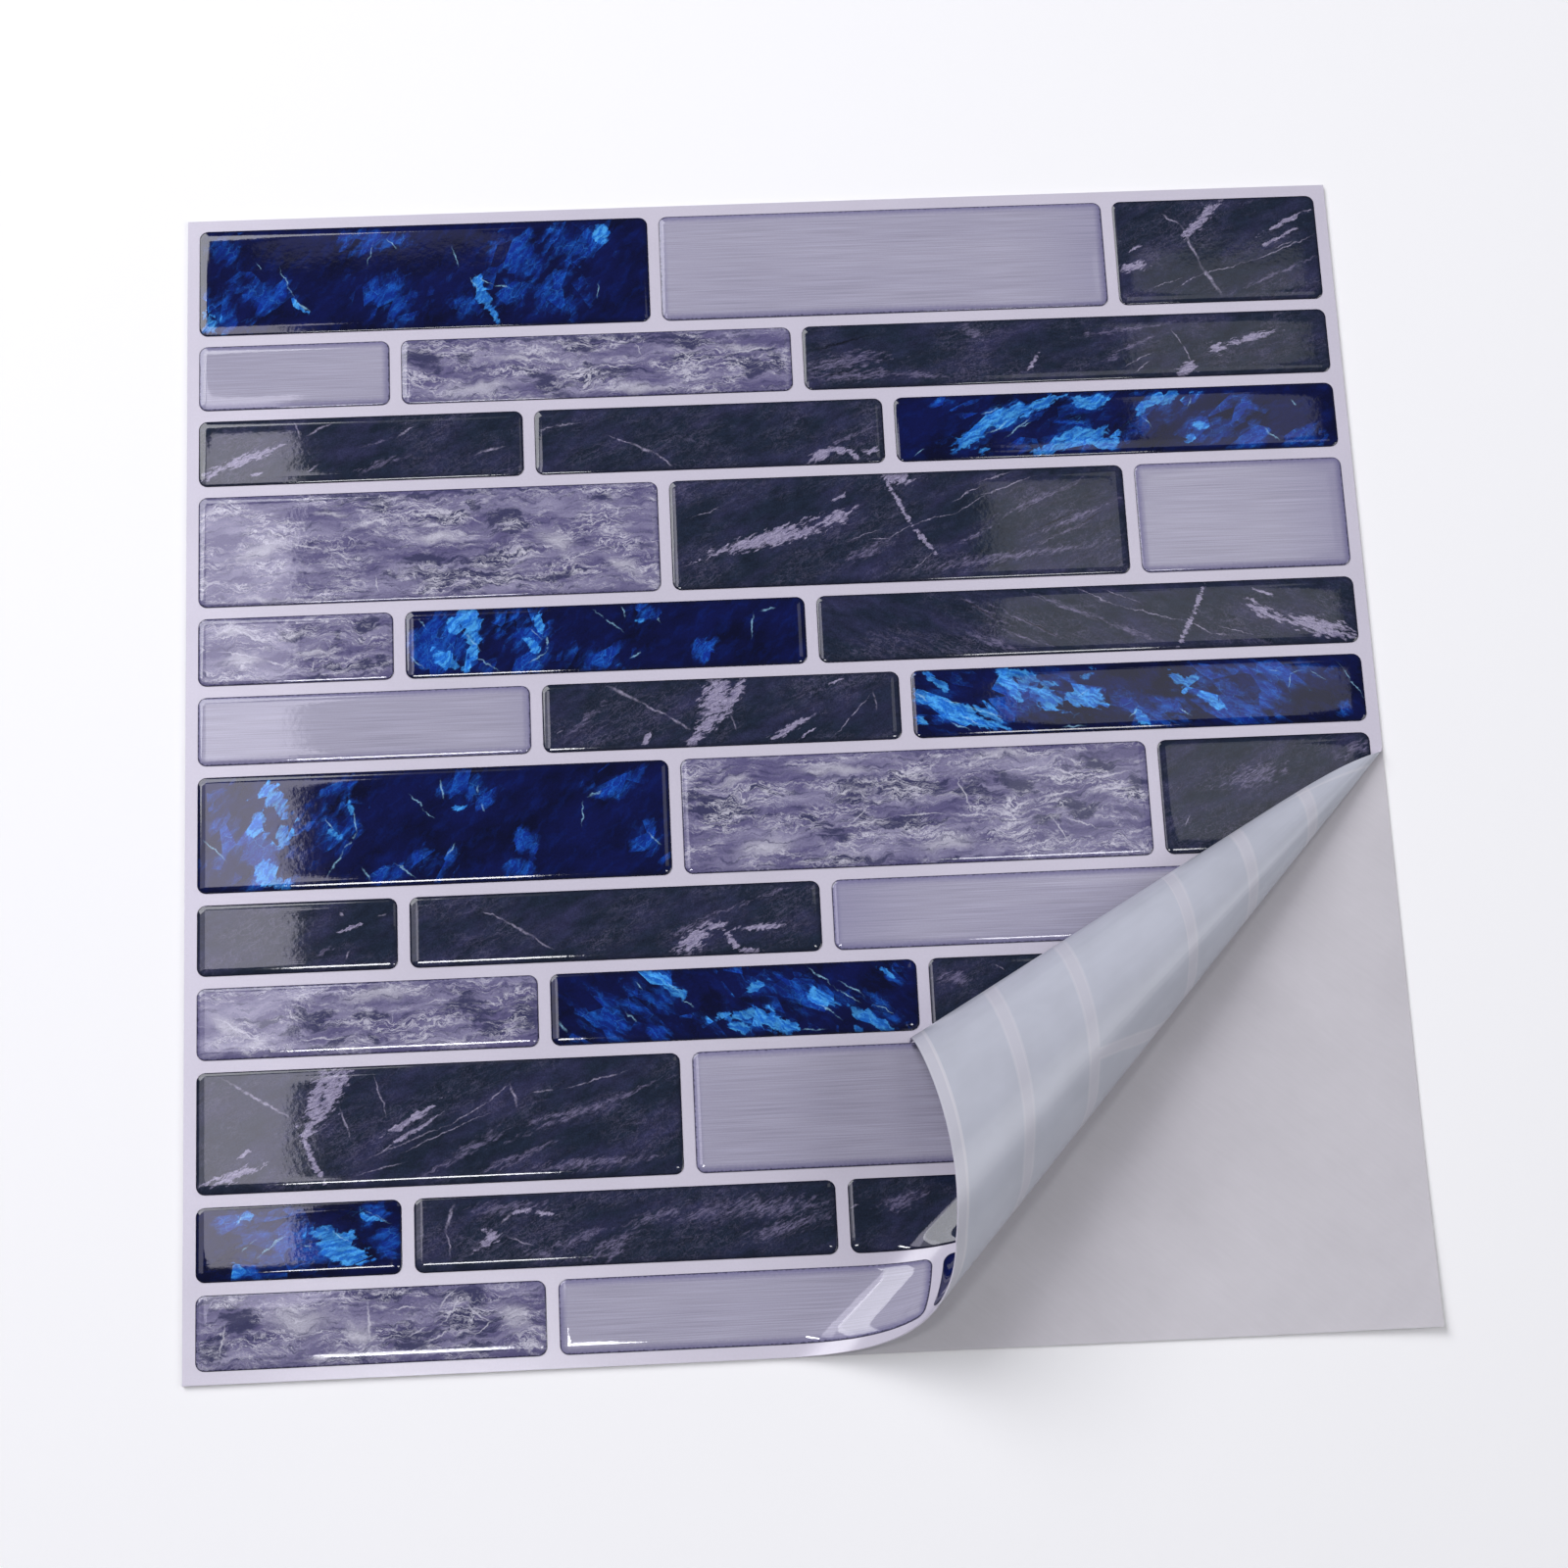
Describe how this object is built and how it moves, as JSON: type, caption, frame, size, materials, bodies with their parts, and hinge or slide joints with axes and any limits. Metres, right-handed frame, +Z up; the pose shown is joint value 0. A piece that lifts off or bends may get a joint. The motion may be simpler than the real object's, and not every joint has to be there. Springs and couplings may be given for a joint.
{
  "type": "peel and stick backsplash tile",
  "caption": "Square self-adhesive backsplash sheet with raised gel tiles on a printed film, one corner rolled back off its flat release liner.",
  "frame": {"origin": "centre of the liner's underside, which is the bottom centre of the bounding box", "axes": "+Z up out of the sheet's face, +X to the right and +Y up the sheet as the face is read; the rolled corner is at +X -Y"},
  "size_m": [0.3, 0.3, 0.0365],
  "materials": {
    "liner": "smooth silicone-coated paper, off-white",
    "film": "glossy white vinyl with a pale blue-grey adhesive back",
    "tile_blue": "clear gel over a deep blue marble print",
    "tile_silver": "clear gel over a brushed silver print",
    "tile_pale": "clear gel over a pale grey marble print",
    "tile_dark": "clear gel over a dark slate marble print"
  },
  "bodies": {
    "root": {"release_liner": "liner", "printed_film": "film", "tile_r01_1": "tile_blue", "tile_r01_2": "tile_silver", "tile_r01_3": "tile_dark", "tile_r02_1": "tile_silver", "tile_r02_2": "tile_pale", "tile_r02_3": "tile_dark", "tile_r03_1": "tile_dark", "tile_r03_2": "tile_dark", "tile_r03_3": "tile_blue", "tile_r04_1": "tile_pale", "tile_r04_2": "tile_dark", "tile_r04_3": "tile_silver", "tile_r05_1": "tile_pale", "tile_r05_2": "tile_blue", "tile_r05_3": "tile_dark", "tile_r06_1": "tile_silver", "tile_r06_2": "tile_dark", "tile_r06_3": "tile_blue", "tile_r07_1": "tile_blue", "tile_r07_2": "tile_pale", "tile_r07_3": "tile_dark", "tile_r08_1": "tile_dark", "tile_r08_2": "tile_dark", "tile_r08_3": "tile_silver", "tile_r09_1": "tile_pale", "tile_r09_2": "tile_blue", "tile_r09_3": "tile_dark", "tile_r10_1": "tile_dark", "tile_r10_2": "tile_silver", "tile_r10_3": "tile_pale", "tile_r11_1": "tile_blue", "tile_r11_2": "tile_dark", "tile_r11_3": "tile_dark", "tile_r12_1": "tile_pale", "tile_r12_2": "tile_silver", "tile_r12_3": "tile_blue"}
  },
  "joints": []
}
